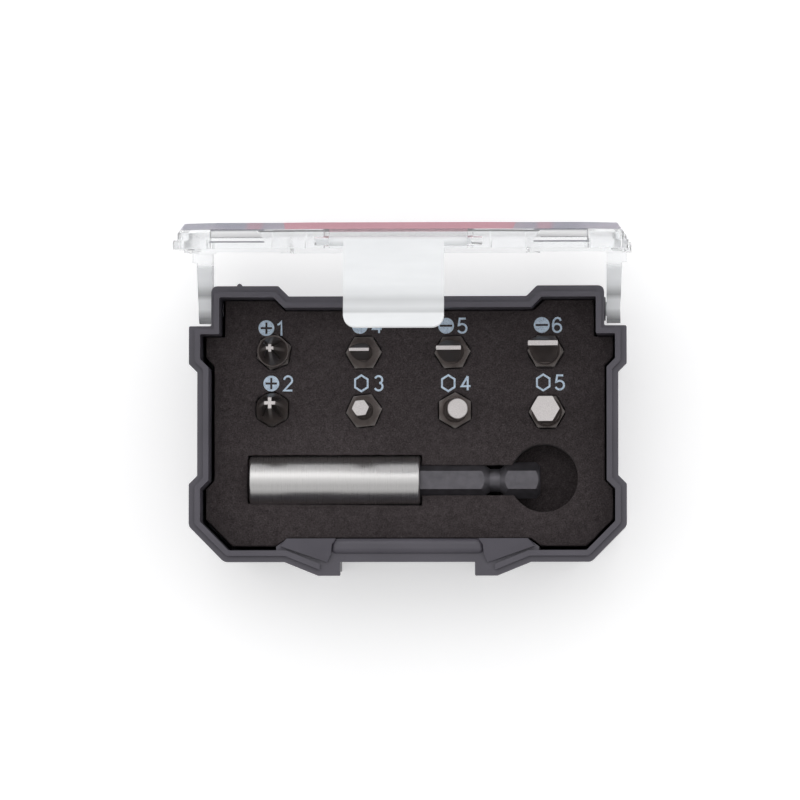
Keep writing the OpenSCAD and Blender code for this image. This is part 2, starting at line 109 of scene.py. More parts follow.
# The pocket at the foam's top and at its underside: its width round the sleeve and round the shank,
# and how far its left front corner comes in
POCKET_TOP = (10.2, 6.0, 0.45)
POCKET_LOW = (10.5, 7.8, 0)
FINGER = (27.2, -10.7)
FINGER_R = 6.85

# The cut foam, in mm
FOAM_EDGE = 0.28            # radius of its top edges
FOAM_LOOSE = 0.05           # how far it stands in from the CAD layer's outline
HOLE_SPARE = 0.34           # how much wider a hole is than its bit
HOLE_CORNER = 0.5

# The lid's hinge, how many degrees it stands open at rest, and the closed lid's card, in mm
HINGE = Vector((0, 23.7, 13.7))
LID_OPEN = 87
CARD_TOP = 28.7
CARD_T = 0.3
BAY_X = 16                  # the corners of the bay for the latch lie within this
RED_HALF = 22.3             # half width of the middle field of the print
STRIPE = (27, 30)           # the thin stripe in each of its ends

# The open lid, in mm: where its arms are, and where the slots in its front wall are
ARM_X = 39.4
ARM_TOP_Y = 32.4
SLOT_X = (26.4, 37.0)
SLOT_Y = (33.86, 35.92)
SLOT_Z = 63.5
SLOT_SHADE_WIDTHS = (0.24, 0.2)    # how wide the painted shade along its two long edges is

# Levels of painted shade, grey along Y, pairs of mm and level, of the open lid's arms and of the
# latch
ARM_SHADE_LEVELS = ((16, 0.14), (21.4, 0.18), (22.3, 0.6), (23.6, 1.0), (25.4, 0.95), (26.4, 0.42),
              (27.1, 0.55), (28.4, 0.9), (29.6, 1.0), (40, 1.0))
LATCH_SHADE_LEVELS = ((16, 1.0), (19.3, 1.0), (19.7, 0.72), (20.1, 0.78), (20.7, 0.86), (22.1, 0.73),
                (23.3, 0.88), (25.2, 0.97), (34, 0.97))
LID_HAZE = 0.08             # how much of the clear plastic is milky
LATCH_HAZE = 0.8
CLEAR_TINT = (0.98, 0.985, 0.99)
CLEAR_ROUGHNESS = 0.1

# The darkest and the lightest tone of blackened steel, and of the tips' bare ends
BIT_TONES = ((0.080, 0.064, 0.059), (0.118, 0.098, 0.091))
SHANK_TONES = ((0.092, 0.088, 0.098), (0.128, 0.122, 0.136))
BARE_TONES = ((0.56, 0.53, 0.525), (0.71, 0.675, 0.67))

# How the CAD nodes' meshes are cleaned: points closer than WELD mm become one, faces within
# FLAT_ANGLE degrees become one, and edges over SPLIT_ANGLE degrees stay hard after the bevel.
WELD = 0.015
FLAT_ANGLE = 1
SPLIT_ANGLE = 36


def bit_axis(bit):
    rx, ry = (math.radians(a) for a in bit.lean)
    return Vector((math.cos(rx) * math.sin(ry), -math.sin(rx), math.cos(rx) * math.cos(ry)))


def bit_foot(bit):
    lean = math.radians(math.hypot(*bit.lean))
    return Vector((*bit.foot, FOOT_Z + BIT_AF / math.sqrt(3) * math.sin(lean)))


# ---- Materials ----

def set_stops(ramp, stops):
    """Give a colour ramp node its stops, pairs of (position, colour)."""
    elements = ramp.color_ramp.elements
    while len(elements) < len(stops):
        elements.new(0.5)
    for element, (position, color) in zip(elements, stops):
        element.position = position
        element.color = (*color, 1)


class Graph:
    """A material and the few kinds of node that it is made with."""

    def __init__(self, name):
        self.material = bpy.data.materials.new(name)
        self.material.use_nodes = True
        self.tree = self.material.node_tree
        self.bsdf = self.tree.nodes["Principled BSDF"]
        self.output = self.tree.nodes["Material Output"]
        self.place = self.add("ShaderNodeTexCoord").outputs["Object"]

    def add(self, kind, **settings):
        node = self.tree.nodes.new(kind)
        for key, value in settings.items():
            setattr(node, key, value)
        return node

    def link(self, source, target):
        self.tree.links.new(source, target)

    def set(self, **values):
        for key, value in values.items():
            self.bsdf.inputs[key.replace("_", " ")].default_value = value

    def coordinates(self):
        node = self.add("ShaderNodeSeparateXYZ")
        self.link(self.place, node.inputs["Vector"])
        return node.outputs

    def grain(self, size, detail=2.0, stretch=None, turn=0.0, roughness=0.5):
        """Noise with cells about size mm wide, longer along an axis where stretch says so."""
        place = self.place
        if stretch:
            mapping = self.add("ShaderNodeMapping")
            mapping.inputs["Scale"].default_value = [1 / s for s in stretch]
            mapping.inputs["Rotation"].default_value = (0, 0, math.radians(turn))
            self.link(place, mapping.inputs["Vector"])
            place = mapping.outputs["Vector"]
        node = self.add("ShaderNodeTexNoise")
        node.inputs["Scale"].default_value = 1 / (size * MM)
        node.inputs["Detail"].default_value = detail
        node.inputs["Roughness"].default_value = roughness
        self.link(place, node.inputs["Vector"])
        return node.outputs["Fac"]

    def ramp(self, value, stops):
        node = self.add("ShaderNodeValToRGB")
        set_stops(node, stops)
        self.link(value, node.inputs["Fac"])
        return node.outputs["Color"]

    def spread(self, value, low, high, source=(0.3, 0.7)):
        """low where value is at the first end of source, high where it is at the second."""
        node = self.add("ShaderNodeMapRange")
        ends = ("From Min", "From Max", "To Min", "To Max")
        for name, number in zip(ends, (*source, low, high)):
            node.inputs[name].default_value = number
        self.link(value, node.inputs["Value"])
        return node.outputs["Result"]

    def inside(self, value, low, high, edge=0.05):
        """1 between low and high, in mm, and 0 beyond, with soft edges."""
        up = self.step(value, low - edge, low + edge)
        down = self.step(value, high - edge, high + edge, 1, 0)
        return self.math("MULTIPLY", up, down)

    def step(self, value, start, end, low=0, high=1):
        """low at start, in mm, and high at end."""
        return self.spread(value, low, high, (start * MM, end * MM))

    def along(self, direction):
        """The distance along a direction, in metres."""
        node = self.add("ShaderNodeVectorMath", operation="DOT_PRODUCT")
        self.link(self.place, node.inputs[0])
        node.inputs[1].default_value = direction
        return node.outputs["Value"]

    def math(self, operation, a, b=None):
        node = self.add("ShaderNodeMath", operation=operation)
        for socket, value in zip(node.inputs, (a, b)):
            if isinstance(value, (int, float)):
                socket.default_value = value
            elif value is not None:
                self.link(value, socket)
        return node.outputs["Value"]

    def mix(self, factor, a, b):
        node = self.add("ShaderNodeMix", data_type="RGBA")
        self.link(factor, node.inputs["Factor"])
        for socket, value in ((node.inputs[6], a), (node.inputs[7], b)):
            if isinstance(value, tuple):
                socket.default_value = (*value, 1)
            else:
                self.link(value, socket)
        return node.outputs[2]

    def bump(self, *layers):
        """layers are (height, depth in mm), from the coarsest to the finest."""
        normal = None
        for height, depth in layers:
            node = self.add("ShaderNodeBump")
            node.inputs["Distance"].default_value = depth * MM
            self.link(height, node.inputs["Height"])
            if normal:
                self.link(normal, node.inputs["Normal"])
            normal = node.outputs["Normal"]
        self.link(normal, self.bsdf.inputs["Normal"])

    def color(self, value):
        self.link(value, self.bsdf.inputs["Base Color"])

    def roughness(self, value):
        self.link(value, self.bsdf.inputs["Roughness"])


def case_plastic():
    g = Graph("case_plastic")
    g.set(IOR=1.5)
    cloud = g.grain(9, 3)
    streak = g.grain(0.35, 2, stretch=(12, 1, 1), turn=28)
    fine = g.grain(0.16, 2)
    tone = g.ramp(cloud, [(0.3, (0.066, 0.061, 0.076)), (0.7, (0.084, 0.078, 0.096))])
    speck = g.ramp(fine, [(0.28, (0.052, 0.048, 0.062)), (0.45, (0.080, 0.075, 0.092))])
    g.color(g.mix(g.spread(fine, 0, 0.45, (0.55, 0.3)), tone, speck))
    g.roughness(g.spread(cloud, 0.36, 0.5))
    g.bump((streak, 0.012), (fine, 0.012))
    return g.material


def foam_material():
    g = Graph("foam")
    g.set(Specular_IOR_Level=0.12, Roughness=0.95, Sheen_Weight=0.04, Sheen_Roughness=0.6)
    cells = g.grain(0.28, 3, roughness=0.65)
    clumps = g.grain(1.3, 3)
    wide = g.grain(14, 2)
    dark = g.ramp(cells, [(0.3, (0.025, 0.0203, 0.0210)), (0.62, (0.056, 0.0465, 0.048)),
                          (0.78, (0.096, 0.085, 0.088))])
    light = g.ramp(cells, [(0.3, (0.034, 0.028, 0.029)), (0.62, (0.072, 0.060, 0.0625)),
                           (0.78, (0.120, 0.106, 0.110))])
    patches = g.math("MULTIPLY", clumps, g.math("ADD", wide, 0.5))
    g.color(g.mix(g.spread(patches, 0, 1, (0.35, 0.65)), dark, light))
    g.bump((clumps, 0.05), (cells, 0.07))
    return g.material


def print_material():
    g = Graph("foam_print")
    g.set(Roughness=0.8, Specular_IOR_Level=0.2)
    wear = g.grain(0.22, 3, roughness=0.7)
    wash = g.grain(0.9, 2)
    paint = g.ramp(wash, [(0.35, (0.52, 0.63, 0.76)), (0.65, (0.66, 0.78, 0.91))])
    g.color(g.mix(g.spread(wear, 1, 0, (0.33, 0.43)), paint, (0.07, 0.08, 0.095)))
    g.bump((wear, 0.03))
    return g.material


def clear_plastic(name, haze, shade):
    """Clear polystyrene that casts only a light shadow.

    haze is how much of it is milky. shade says where painted shade makes it more milky, and in
    which tone.
    """
    g = Graph(name)
    g.set(Base_Color=(*CLEAR_TINT, 1), IOR=1.49, Transmission_Weight=1.0)
    g.roughness(g.spread(g.grain(2.5, 3), CLEAR_ROUGHNESS * 0.6, CLEAR_ROUGHNESS * 1.6))
    g.bump((g.grain(7, 2), 0.012))
    see = g.add("ShaderNodeBsdfTransparent")
    see.inputs["Color"].default_value = (0.93, 0.94, 0.95, 1)
    # The diffuse part carries both the plastic's haze and the painted shade.
    haze_and_shade = g.add("ShaderNodeBsdfDiffuse")
    body = g.add("ShaderNodeMixShader")
    amount, tone = shade(g, haze)
    g.link(amount, body.inputs["Fac"])
    g.link(tone, haze_and_shade.inputs["Color"])
    g.link(g.bsdf.outputs["BSDF"], body.inputs[1])
    g.link(haze_and_shade.outputs["BSDF"], body.inputs[2])
    ray = g.add("ShaderNodeLightPath")
    mix = g.add("ShaderNodeMixShader")
    g.link(ray.outputs["Is Shadow Ray"], mix.inputs["Fac"])
    g.link(body.outputs["Shader"], mix.inputs[1])
    g.link(see.outputs["BSDF"], mix.inputs[2])
    g.link(mix.outputs["Shader"], g.output.inputs["Surface"])
    return g.material


def levels_along(g, value, levels):
    """Painted shade: a slightly blue grey that follows levels, pairs of (mm, level), along value.
    """
    low, high = levels[0][0], levels[-1][0]
    stops = [((at - low) / (high - low), (level * 0.985, level, level * 1.015))
             for at, level in levels]
    return g.ramp(g.step(value, low, high), stops)


def lid_shade(g, haze):
    """Painted shade: the arms are grey along their length and the long edges of the slots in the
    front wall are dark, for the dark of the case seen through the clear plastic.
    """
    x, y, z = g.coordinates()
    side = g.math("ABSOLUTE", x)
    beyond = 80                 # mm, past the lid in every direction
    arm_shade = g.math("MULTIPLY", g.inside(side, ARM_X, beyond), g.inside(y, 0, ARM_TOP_Y, 0.6))
    front, back = SLOT_Y
    edges = g.math("ADD", g.inside(y, front - SLOT_SHADE_WIDTHS[0], front),
                   g.inside(y, back, back + SLOT_SHADE_WIDTHS[1]))
    wall = g.math("MULTIPLY", g.inside(side, *SLOT_X), g.inside(z, SLOT_Z, beyond))
    slot_edge_shade = g.math("MULTIPLY", edges, wall)
    # How much painted shade the arms and the slots' edges get, on top of the plastic's haze
    milky = g.math("MAXIMUM", g.math("MULTIPLY", arm_shade, 0.6), g.math("MULTIPLY", slot_edge_shade, 0.8))
    # The tone: grey levels of painted shade along the arms, and a dark painted shade on the slots'
    # edges
    tone = g.mix(slot_edge_shade, levels_along(g, y, ARM_SHADE_LEVELS), (0.17, 0.17, 0.20))
    return g.math("ADD", milky, haze), tone


def latch_shade(g, haze):
    """The latch is frosted, with darker bands of painted shade above its thick lower end."""
    cloud = g.spread(g.grain(3, 2, stretch=(4, 1, 1)), -0.03, 0.03)
    return g.math("ADD", cloud, haze), levels_along(g, g.coordinates()["Y"], LATCH_SHADE_LEVELS)


def off_axis(g, foot, axis):
    """How far a point of a bit is off its axis, along X and along Y."""
    offsets = []
    for side in (Vector((1, 0, 0)), Vector((0, 1, 0))):
        square = side - axis * side.dot(axis)
        offset = g.math("SUBTRACT", g.along(square), foot.dot(square) * MM)
        offsets.append(g.math("ABSOLUTE", offset))
    return offsets


def edge_wear_and_shade(g, dark, offsets):
    """The corners of the hexagon are lighter, from wear and a painted highlight, and the neck is a
    little darker with painted shade.
    """
    squares = [g.math("MULTIPLY", offset, offset) for offset in offsets]
    radius = g.math("SQRT", g.math("ADD", *squares))
    # Lighter corners: wear and a painted highlight. Darker neck: painted shade.
    edge = g.step(radius, *CORNER_R, 0, 0.55)
    neck = g.step(radius, *NECK_R, 0.35, 0)
    return g.mix(neck, g.mix(edge, dark, (0.24, 0.225, 0.22)), (0.022, 0.019, 0.018))


def flute_shade_and_wing_highlight(g, dark, offsets):
    """A Phillips tip's four flutes are darker with painted shade, and its wings' edges are lighter
    with a painted highlight.
    """
    near = g.math("MINIMUM", *offsets)
    far = g.math("MAXIMUM", *offsets)
    fade = g.step(far, *FLUTE_R, 1, 0)
    # Painted shade in the flutes, and a painted highlight on the wings' edges
    flute_shade = g.math("MULTIPLY", g.step(near, *FLUTE_OFF, 0, 0.75), fade)
    wing_highlight = g.math("MULTIPLY", g.step(near, *WING_OFF, 0.8, 0), fade)
    return g.mix(flute_shade, g.mix(wing_highlight, dark, (0.19, 0.175, 0.168)), (0.018, 0.016, 0.0155))


def dark_steel(name, tones, metallic, bit=None):
    """Blackened steel. The end face of a bit is ground bare."""
    g = Graph(name)
    g.set(Metallic=metallic)
    cloud = g.grain(1.6, 3)
    fine = g.grain(0.12, 2)
    dark = g.ramp(cloud, [(0.3, tones[0]), (0.7, tones[1])])
    rough = g.spread(cloud, 0.36, 0.48)
    if bit:
        foot, axis = bit_foot(bit), bit_axis(bit)
        offsets = off_axis(g, foot, axis)
        dark = edge_wear_and_shade(g, dark, offsets)
        if bit.kind == "phillips":
            dark = flute_shade_and_wing_highlight(g, dark, offsets)
        g.set(Specular_IOR_Level=0.3)
        end = foot.dot(axis) + BIT_LEN
        bare = g.step(g.along(axis), end - 0.22, end - 0.08)
        scratch = g.ramp(fine, [(0.35, BARE_TONES[0]), (0.65, BARE_TONES[1])])
        g.color(g.mix(bare, dark, scratch))
        g.roughness(g.math("ADD", rough, g.math("MULTIPLY", bare, 0.16)))
    else:
        g.color(dark)
        g.roughness(rough)
    g.bump((cloud, 0.006), (fine, 0.006))
    return g.material


def sleeve_steel():
    """Steel brushed round the sleeve's axis, X."""
    g = Graph("sleeve_steel")
    g.set(Metallic=1.0)
    turning = g.grain(0.07, 2, stretch=(1, 80, 80))
    wave = g.grain(2.2, 2, stretch=(1, 3, 3))
    g.color(g.ramp(turning, [(0.25, (0.56, 0.55, 0.545)), (0.75, (0.63, 0.62, 0.615))]))
    g.roughness(g.spread(turning, 0.27, 0.33))
    g.bump((wave, 0.02), (turning, 0.0015))
    return g.material


def plain_metal(name, color, rough):
    g = Graph(name)
    g.set(Metallic=1.0)
    fine = g.grain(0.15, 2)
    g.color(g.ramp(fine, [(0.3, tuple(0.85 * c for c in color)), (0.7, color)]))
    g.roughness(g.spread(fine, rough, rough + 0.12))
    return g.material


def paper(name, color):
    """Plain card with a fine fibre, which glows a little: painted light."""
    g = Graph(name)
    g.set(Roughness=0.7, Emission_Color=(1, 1, 1, 1), Emission_Strength=PAPER_GLOW)
    fibre = g.grain(0.4, 4, stretch=(3, 1, 1))
    g.color(g.ramp(fibre, [(0.3, tuple(0.96 * c for c in color)), (0.7, color)]))
    g.bump((fibre, 0.01))
    return g.material


def card_print():
    """The card's printed side: a red middle field between violet grey ends with a red stripe."""
    g = Graph("card_print")
    g.set(Roughness=0.4)
    ink = g.grain(0.25, 3)
    tone = g.grain(9, 2)
    side = g.math("ABSOLUTE", g.coordinates()["X"])
    red = g.ramp(ink, [(0.3, (0.62, 0.27, 0.34)), (0.7, (0.70, 0.31, 0.38))])
    grey = g.ramp(tone, [(0.35, (0.38, 0.38, 0.46)), (0.65, (0.48, 0.44, 0.52))])
    field = g.step(side, RED_HALF - 0.05, RED_HALF + 0.05, 1, 0)
    stripe = g.math("MULTIPLY", g.inside(side, *STRIPE, edge=0.5), 0.55)
    g.color(g.mix(g.math("MAXIMUM", field, stripe), grey, red))
    return g.material


def floor_material():
    g = Graph("floor")
    g.set(Roughness=0.9, Specular_IOR_Level=0.1)
    g.set(Emission_Color=(1, 1, 1, 1), Emission_Strength=FLOOR_GLOW)
    g.color(g.ramp(g.grain(60, 2), [(0.3, (0.80, 0.80, 0.805)), (0.7, (0.82, 0.82, 0.825))]))
    return g.material


def dress(obj, material):
    obj.data.materials.clear()
    obj.data.materials.append(material)


def soften(obj, width, angle=28, patch=None):
    """Small rounded edges, width mm wide, on a CAD node, where it turns by over angle degrees.

    With patch, in metres, flat faces are joined only inside patches of that size, so that no flat
    ring becomes one face round a hole.
    """
    for polygon in obj.data.polygons:
        polygon.use_smooth = True
    if patch:
        for edge in obj.data.edges:
            a, b = (obj.data.vertices[i].co for i in edge.vertices)
            edge.use_seam = any((a[i] + patch / 2) // patch != (b[i] + patch / 2) // patch
                                for i in (0, 1))
    weld = obj.modifiers.new("weld", "WELD")
    weld.merge_threshold = WELD * MM
    flat = obj.modifiers.new("flat", "DECIMATE")
    flat.decimate_type = "DISSOLVE"
    flat.angle_limit = math.radians(FLAT_ANGLE)
    flat.delimit = {"SEAM"}
    bevel = obj.modifiers.new("bevel", "BEVEL")
    bevel.width = width * MM
    bevel.segments = 2
    bevel.limit_method = "ANGLE"
    bevel.angle_limit = math.radians(angle)
    bevel.miter_outer = "MITER_ARC"
    bevel.harden_normals = True
    split = obj.modifiers.new("split", "EDGE_SPLIT")
    split.split_angle = math.radians(SPLIT_ANGLE)
    normals = obj.modifiers.new("normals", "WEIGHTED_NORMAL")
    normals.keep_sharp = True


# ---- Meshes ----

def add_piece(name, bm, material, body):
    """An object from a bmesh, which rides on a body and has one of the record's material slots."""
    mesh = bpy.data.meshes.new(name)
    bmesh.ops.recalc_face_normals(bm, faces=bm.faces)
    bm.to_mesh(mesh)
    bm.free()
    mesh.materials.append(material)
    obj = bpy.data.objects.new(name, mesh)
    bpy.context.scene.collection.objects.link(obj)
    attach(obj, body)
    return obj


def opened():
    """The turn that carries the closed lid to its place at rest."""
    there = Matrix.Translation(HINGE * MM)
    return there @ Matrix.Rotation(math.radians(-LID_OPEN), 4, "X") @ there.inverted()


def signed_area(points):
    return sum(a.cross(b) for a, b in zip(points, points[1:] + points[:1])) / 2


def top_outline(node, turn=None):
    """The outer outline of a CAD node's top face, in mm, anticlockwise.

    turn brings the node upright first.
    """
    bm = bmesh.new()
    bm.from_mesh(NODES[node].data)
    if turn:
        bm.transform(turn)
        bm.normal_update()
    bmesh.ops.remove_doubles(bm, verts=bm.verts, dist=0.002 * MM)
    high = max(v.co.z for v in bm.verts)
    for face in bm.faces:
        face.tag = face.normal.z > 0.99 and abs(face.calc_center_median().z - high) < 0.01 * MM
    follow = {loop.vert: loop.link_loop_next.vert
              for face in bm.faces if face.tag for loop in face.loops
              if sum(f.tag for f in loop.edge.link_faces) == 1}
    outlines = []
    while follow:
        start, vert = follow.popitem()
        points = [start.co.xy / MM]
        while vert is not start:
            points.append(vert.co.xy / MM)
            vert = follow.pop(vert)
        outlines.append(points)
    bm.free()
    outer = max(outlines, key=lambda points: abs(signed_area(points)))
    return outer if signed_area(outer) > 0 else outer[::-1]


def divided(points, step):
    """The loop with points at most step apart."""
    result = []
    for a, b in zip(points, points[1:] + points[:1]):
        n = max(1, math.ceil((b - a).length / step))
        result += [a.lerp(b, k / n) for k in range(n)]
    return result


def shifted(points, distances):
    """Each point moved to the left of the loop's direction, square to its neighbours.

    distances is one number for each point, or one for all.
    """
    result = []
    n = len(points)
    if isinstance(distances, (int, float)):
        distances = [distances] * n
    for i, (p, d) in enumerate(zip(points, distances)):
        u = (p - points[i - 1]).normalized()
        v = (points[(i + 1) % n] - p).normalized()
        normal = Vector((-u.y - v.y, u.x + v.x)) / max(0.5, 1 + u.dot(v))
        result.append(p + normal * d)
    return result


def hexagon(middle, across, turn, corner):
    """A hexagon with cut corners, anticlockwise."""
    tips = circle(middle, across / math.sqrt(3), 6, turn, turn + 360)
    points = []
    for i, tip in enumerate(tips):
        for other in (tips[i - 1], tips[(i + 1) % 6]):
            points.append(tip + (other - tip).normalized() * corner)
    return points


def circle(middle, radius, count, start=0.0, end=360.0):
    """count points of a circle, or of an arc of it with both its ends."""
    steps = count if end - start >= 360 else count - 1
    angles = [math.radians(start + (end - start) * k / steps) for k in range(count)]
    return [Vector(middle) + radius * Vector((math.cos(a), math.sin(a))) for a in angles]


def block(bm, loops, low, high, edge):
    """A cut block of foam with top edges rounded by edge.

    loops are pairs of outlines, at the top and at the underside, with the same number of points and
    the foam to their left.
    """
    caps = {"top": [], "low": []}
    steps = 4                   # in each rounded edge
    waist = 0.45                # where down a wall its middle row is
    for upper, lower in loops:
        rows = []
        for k in range(steps + 1):
            a = math.pi / 2 * (1 - k / steps)
            ring = shifted(upper, edge * (1 - math.cos(a)))
            rows.append([(p, high - edge + edge * math.sin(a)) for p in ring])
        middle = [a.lerp(b, waist) for a, b in zip(upper, lower)]
        rows.append([(p, high + waist * (low - high)) for p in middle])
        rows.append([(p, low) for p in lower])
        verts = [[bm.verts.new((p.x * MM, p.y * MM, z * MM)) for p, z in row] for row in rows]
        n = len(upper)
        for above, below in zip(verts, verts[1:]):
            for i in range(n):
                j = (i + 1) % n
                bm.faces.new((above[i], below[i], below[j], above[j])).smooth = True
        for key, row in (("top", verts[0]), ("low", verts[-1])):
            caps[key] += [bm.edges.get((row[i], row[(i + 1) % n])) for i in range(n)]
    for key, edges in caps.items():
        filled = bmesh.ops.triangle_fill(bm, edges=edges, use_beauty=True)
        for face in filled["geom"]:
            if isinstance(face, bmesh.types.BMFace):
                face.smooth = False


def ragged(points, amount, seed):
    """The slight waviness of an edge cut in foam: a wide wave and a fine one."""
    def wobble(p):
        wide = noise.noise(Vector((p.x * 0.9, p.y * 0.9, seed)))
        fine = noise.noise(Vector((p.x * 2.6, p.y * 2.6, seed + 5)))
        return amount * (wide + 0.6 * fine)
    return shifted(points, [wobble(p) for p in points])


def bit_hole(bit, z):
    """The outline at height z of a bit's hole, which leans as the bit does."""
    foot, axis = bit_foot(bit), bit_axis(bit)
    middle = (foot + axis * ((z - foot.z) / axis.z)).xy
    points = divided(hexagon(middle, BIT_AF + HOLE_SPARE, bit.turn, HOLE_CORNER), 0.7)
    return ragged(points[::-1], 0.07, bit.size + len(bit.kind))


def holder_pocket(sleeve_w, shank_w, bulge):
    """The outline of the holder's pocket with its finger hole, with the foam to its left."""
    left, right = HOLDER_X - POCKET_SPARE[0], HOLDER_X + SLEEVE_LEN + POCKET_SPARE[1]
    sleeve_back, shank_back = HOLDER_Y + sleeve_w / 2, HOLDER_Y + shank_w / 2
    shank_front, sleeve_front = HOLDER_Y - shank_w / 2, HOLDER_Y - sleeve_w / 2
    high, low = (math.degrees(math.asin((y - FINGER[1]) / FINGER_R))
                 for y in (shank_back, shank_front))
    hole = circle(FINGER, FINGER_R, 60, -180 - low, 180 - high)[::-1]
    before = [(left, sleeve_back), (right, sleeve_back), (right, shank_back)]
    after = [(right, shank_front), (right, sleeve_front), (left, sleeve_front + bulge)]
    points = [Vector(p) for p in before] + hole + [Vector(p) for p in after]
    return ragged(divided(points, 0.8), 0.09, 11)


def foam_piece(name, node, pocket, material):
    """A foam layer in a CAD node's place, with the bits' holes and, if pocket, the holder's."""
    low, high = (corner[2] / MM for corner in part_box(node))
    outer = ragged(shifted(divided(top_outline(node), 1.2), FOAM_LOOSE), 0.08, 3)
    loops = [(outer, outer)] + [(bit_hole(bit, high), bit_hole(bit, low)) for bit in BITS]
    if pocket:
        loops.append((holder_pocket(*POCKET_TOP), holder_pocket(*POCKET_LOW)))
    bm = bmesh.new()
    block(bm, loops, low + 0.01, high, FOAM_EDGE)
    piece = add_piece(name, bm, material, "case")
    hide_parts(node)


# ---- The print on the foam ----

def plate(bm, outer, holes, low, high):
    """A flat plate with holes, from low to high in mm."""
    rims = []
    for points in [outer] + holes:
        n = len(points)
        above = [bm.verts.new((p.x * MM, p.y * MM, high * MM)) for p in points]
        below = [bm.verts.new((p.x * MM, p.y * MM, low * MM)) for p in points]
        for i in range(n):
            j = (i + 1) % n
            bm.faces.new((above[i], below[i], below[j], above[j]))
        rims.append((above, below))
    for side in (0, 1):
        edges = []
        for rim in rims:
            row = rim[side]
            edges += [bm.edges.get((row[i], row[(i + 1) % len(row)])) for i in range(len(row))]
        bmesh.ops.triangle_fill(bm, edges=edges, use_beauty=True)


def bar(middle, w, h):
    """A rectangle, anticlockwise."""
    x, y = middle
    return [Vector((x + i * w / 2, y + j * h / 2)) for i, j in ((1, 1), (-1, 1), (-1, -1), (1, -1))]


def cross(middle, length, width):
    """An upright cross, anticlockwise."""
    a, b = length / 2, width / 2
    corners = [(b, a), (-b, a), (-b, b), (-a, b), (-a, -b), (-b, -b), (-b, -a), (b, -a), (b, -b),
               (a, -b), (a, b), (b, b)]
    return [Vector(middle) + Vector(c) for c in corners]


ICON_R = 1.6
ICON_HEX = (1.68, 1.25)     # outer and inner radius of the hexagon
ICON_TALL = 1.1             # how much taller than wide it is
SLIT_W = 0.42
CROSS_LEN = 2.3
SLOT_LEN = 2.5


def icon(bm, kind, middle, low, high, scale=1.0):
    """A hexagon's outline, or a disc with a cross or a slot cut out of it."""
    if kind == "hex":
        rings = [circle((0, 0), scale * radius, 6, 30, 390) for radius in ICON_HEX]
        outer, inner = ([Vector(middle) + Vector((p.x, p.y * ICON_TALL)) for p in ring]
                        for ring in rings)
        plate(bm, outer, [inner], low, high)
        return
    if kind == "phillips":
        mark = cross(middle, CROSS_LEN * scale, SLIT_W * scale)
    else:
        mark = bar(middle, SLOT_LEN * scale, SLIT_W * scale)
    plate(bm, circle(middle, ICON_R * scale, 40), [mark], low, high)


def arc(x, y, radius, start, end):
    """Points of a stroke round (x, y) from one angle to another."""
    count = max(3, math.ceil(abs(end - start) / 12))
    angles = [math.radians(start + (end - start) * k / count) for k in range(count + 1)]
    return [(x + radius * math.cos(a), y + radius * math.sin(a)) for a in angles]


# The strokes of each digit, in mm from its middle
DIGITS = {
    "1": [[(-0.66, 0.74), (-0.22, 0.98), (0.14, 1.45), (0.14, -1.45)]],
    "2": [arc(0, 0.64, 0.81, 172, -28) + [(-0.82, -1.42), (0.86, -1.42)]],
    "3": [arc(-0.02, 0.72, 0.73, 158, -80), arc(-0.02, -0.66, 0.79, 82, -158)],
    "4": [[(0.36, -1.45), (0.36, 1.4)], [(0.36, 1.4), (-0.86, -0.62), (0.92, -0.62)]],
    "5": [[(0.72, 1.42), (-0.5, 1.42), (-0.7, 0.1)] + arc(0, -0.55, 0.88, 128, -155)],
    "6": [[(-0.83, -0.6), (-0.83, 0.2), (-0.66, 0.92), (-0.3, 1.32), (0.12, 1.44), (0.52, 1.28),
           (0.76, 0.86)],
          arc(0, -0.6, 0.83, 180, -180)],
}
STROKE = 0.4


def stroke(bm, path, middle, low, high):
    """A plate STROKE wide along a path, which may end where it starts."""
    points = [Vector(middle) + Vector(p) for p in path]
    closed = (points[0] - points[-1]).length < 1e-6
    if closed:
        points.pop()
    n = len(points)
    sides = []
    for i, p in enumerate(points):
        before = points[i - 1] if closed or i else None
        after = points[(i + 1) % n] if closed or i < n - 1 else None
        u = (p - before).normalized() if before else (after - p).normalized()
        v = (after - p).normalized() if after else u
        sides.append(Vector((-u.y - v.y, u.x + v.x)) / max(0.4, 1 + u.dot(v)) * STROKE / 2)
    left = [p + d for p, d in zip(points, sides)]
    right = [p - d for p, d in zip(points, sides)]
    if closed:
        plate(bm, left, [right], low, high)
    else:
        plate(bm, left + right[::-1], [], low, high)


def make_print(material):
    """The icons and digits on the foam. A digit's second stroke is a bit thicker than its first."""
    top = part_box("foam_upper")[1][2] / MM
    low, high = top - 0.02, top + 0.035
    bm = bmesh.new()
    for kind, digit, place, digit_place in MARKS:
        icon(bm, kind, place, low, high)
        for layer, path in enumerate(DIGITS[digit]):
            stroke(bm, path, digit_place, low, high + 0.004 * layer)
    add_piece("foam_print", bm, material, "case")


# ---- The card in the lid ----

# The marks on the card, in mm from its middle
CARD_ICONS = (("phillips", -13), ("hex", 0), ("slotted", 13))
CARD_ICON_Y = 4
CARD_ICON_SCALE = 2.6
RULE = ((0, -5), 36, 0.5)
BOXES_X = (-15, -9, -3, 3, 9, 15)
BOXES_Y = -12
BOX = (3.2, 2.5)            # outer and inner size


